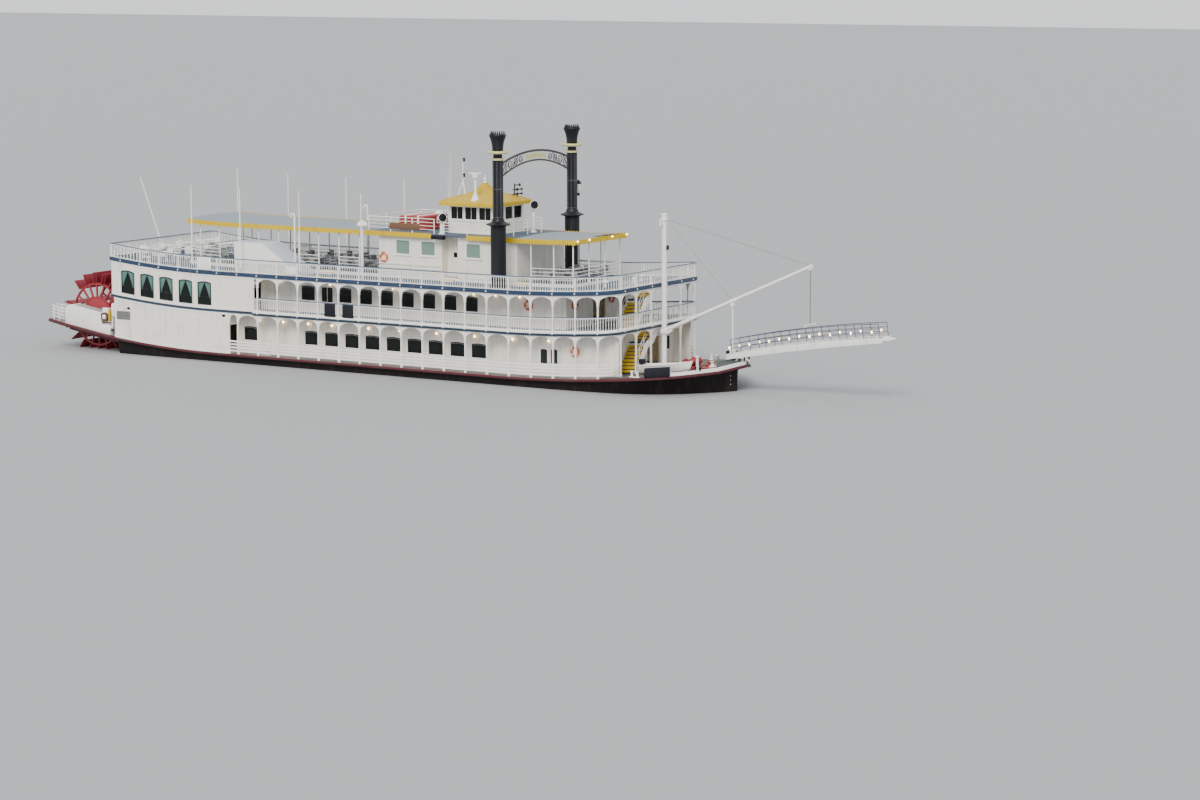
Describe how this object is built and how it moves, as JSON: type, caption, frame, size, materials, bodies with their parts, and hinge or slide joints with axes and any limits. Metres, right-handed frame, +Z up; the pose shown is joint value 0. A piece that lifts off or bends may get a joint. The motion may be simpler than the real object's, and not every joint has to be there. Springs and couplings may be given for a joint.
{
  "type": "sternwheel paddle boat, 1:2 scale model",
  "caption": "Two-deck passenger sternwheeler with arched galleries, texas house, pilothouse, twin crowned funnels, slewing boom and hoisted landing stage.",
  "frame": {"origin": "on the flat underside of the hull, amidships on the centreline", "axes": "+X towards the bow, +Y to port, +Z up; the waterline is at z = 0.95 m"},
  "size_m": [34.1159, 6.124, 9.64],
  "materials": {
    "white_paint": "satin",
    "hull_black": "satin",
    "deck_blue": "matte",
    "wheel_red": "satin",
    "funnel_black": "satin",
    "canvas_grey": "matte",
    "ochre_paint": "satin",
    "tread_yellow": "satin",
    "stage_white": "satin",
    "machine_red": "satin",
    "engine_grey": "matte",
    "rail_blue": "satin",
    "guard_red": "matte",
    "window_glass": "clear",
    "drape_teal": "matte",
    "lamp_glass": "frosted",
    "brass_trim": "polished",
    "rubber_black": "matte",
    "wire_grey": "satin",
    "timber": "varnished",
    "life_ring": "matte"
  },
  "bodies": {
    "boat": {"hull": "hull_black", "main_deck_aft": "deck_blue", "main_deck": "deck_blue", "main_deck_fore": "deck_blue", "foredeck": "deck_blue", "boiler_deck": "deck_blue", "roof_deck": "deck_blue", "wheel_arm_stbd": "white_paint", "wheel_arm_port": "white_paint", "main_wall_stbd": "white_paint", "boiler_wall_stbd": "white_paint", "main_wall_port": "white_paint", "boiler_wall_port": "white_paint", "main_bulkhead": "white_paint", "main_front_wall": "white_paint", "main_plating": "white_paint", "boiler_plating": "white_paint", "boiler_bulkhead": "white_paint", "boiler_front_wall": "white_paint", "main_gallery_stbd": "white_paint", "boiler_gallery_stbd": "white_paint", "main_gallery_port": "white_paint", "boiler_gallery_port": "white_paint", "main_gallery_front": "white_paint", "boiler_gallery_front": "white_paint", "roof_rail_stbd": "white_paint", "roof_rail_port": "white_paint", "roof_rail_front": "white_paint", "roof_rail_aft": "white_paint", "roof_platform": "white_paint", "awning_aft": "canvas_grey", "awning_fore": "canvas_grey", "texas_house": "white_paint", "bridge_deck": "white_paint", "pilothouse": "white_paint", "pilothouse_roof": "ochre_paint", "stack_stbd": "funnel_black", "stack_port": "funnel_black", "stack_arch": "funnel_black", "stair_cover": "white_paint", "stair_lower": "tread_yellow", "stair_upper": "tread_yellow", "mast": "white_paint", "skiff": "white_paint", "foredeck_machinery": "machine_red", "engine": "engine_grey"},
    "wheel": {"wheel": "wheel_red"},
    "rudder_stbd": {"rudder_stbd": "hull_black"},
    "rudder_port": {"rudder_port": "hull_black"},
    "boom": {"boom": "white_paint"},
    "stage": {"stage": "stage_white"},
    "door_double_aft_stbd": {"door_double_aft_stbd": "white_paint"},
    "door_double_fore_stbd": {"door_double_fore_stbd": "white_paint"},
    "door_service_stbd": {"door_service_stbd": "white_paint"},
    "door_double_aft_port": {"door_double_aft_port": "white_paint"},
    "door_double_fore_port": {"door_double_fore_port": "white_paint"},
    "door_service_port": {"door_service_port": "white_paint"},
    "door_texas": {"door_texas": "white_paint"},
    "door_pilothouse": {"door_pilothouse": "white_paint"}
  },
  "joints": [
    {"name": "wheel_turn", "type": "hinge", "parent": "boat", "child": "wheel", "pos_m": [-12.975, 0, 2.25], "axis": [0, 1, 0], "continuous": true},
    {"name": "rudder_stbd_turn", "type": "hinge", "parent": "boat", "child": "rudder_stbd", "pos_m": [-10.9, -1.5, 0.45], "axis": [0, 0, 1], "range_deg": [-35, 35]},
    {"name": "rudder_port_turn", "type": "hinge", "parent": "boat", "child": "rudder_port", "pos_m": [-10.9, 1.5, 0.45], "axis": [0, 0, 1], "range_deg": [-35, 35]},
    {"name": "boom_slew", "type": "hinge", "parent": "boat", "child": "boom", "pos_m": [10.86, 0, 2.85], "axis": [0, 0, 1], "range_deg": [-60, 60]},
    {"name": "stage_lower", "type": "hinge", "parent": "boom", "child": "stage", "pos_m": [13.6, 0, 2.33], "axis": [0, 1, 0], "range_deg": [0, 12]},
    {"name": "door_double_aft_stbd_swing", "type": "hinge", "parent": "boat", "child": "door_double_aft_stbd", "pos_m": [7.25, -2.45, 1.86], "axis": [0, 0, -1], "range_deg": [0, 90]},
    {"name": "door_double_fore_stbd_swing", "type": "hinge", "parent": "boat", "child": "door_double_fore_stbd", "pos_m": [8.09, -2.45, 1.86], "axis": [0, 0, 1], "range_deg": [0, 90]},
    {"name": "door_service_stbd_swing", "type": "hinge", "parent": "boat", "child": "door_service_stbd", "pos_m": [9.2, -2.45, 1.95], "axis": [0, 0, -1], "range_deg": [0, 90]},
    {"name": "door_double_aft_port_swing", "type": "hinge", "parent": "boat", "child": "door_double_aft_port", "pos_m": [7.25, 2.45, 1.86], "axis": [0, 0, 1], "range_deg": [0, 90]},
    {"name": "door_double_fore_port_swing", "type": "hinge", "parent": "boat", "child": "door_double_fore_port", "pos_m": [8.09, 2.45, 1.86], "axis": [0, 0, -1], "range_deg": [0, 90]},
    {"name": "door_service_port_swing", "type": "hinge", "parent": "boat", "child": "door_service_port", "pos_m": [9.2, 2.45, 1.95], "axis": [0, 0, 1], "range_deg": [0, 90]},
    {"name": "door_texas_swing", "type": "hinge", "parent": "boat", "child": "door_texas", "pos_m": [2.66, -1.145, 4.94], "axis": [0, 0, -1], "range_deg": [0, 90]},
    {"name": "door_pilothouse_swing", "type": "hinge", "parent": "boat", "child": "door_pilothouse", "pos_m": [2.45, -0.225, 6.45], "axis": [0, 0, 1], "range_deg": [0, 90]}
  ],
  "couplings": [
    {"joint": "rudder_port_turn", "follows": "rudder_stbd_turn", "ratio": 1}
  ]
}
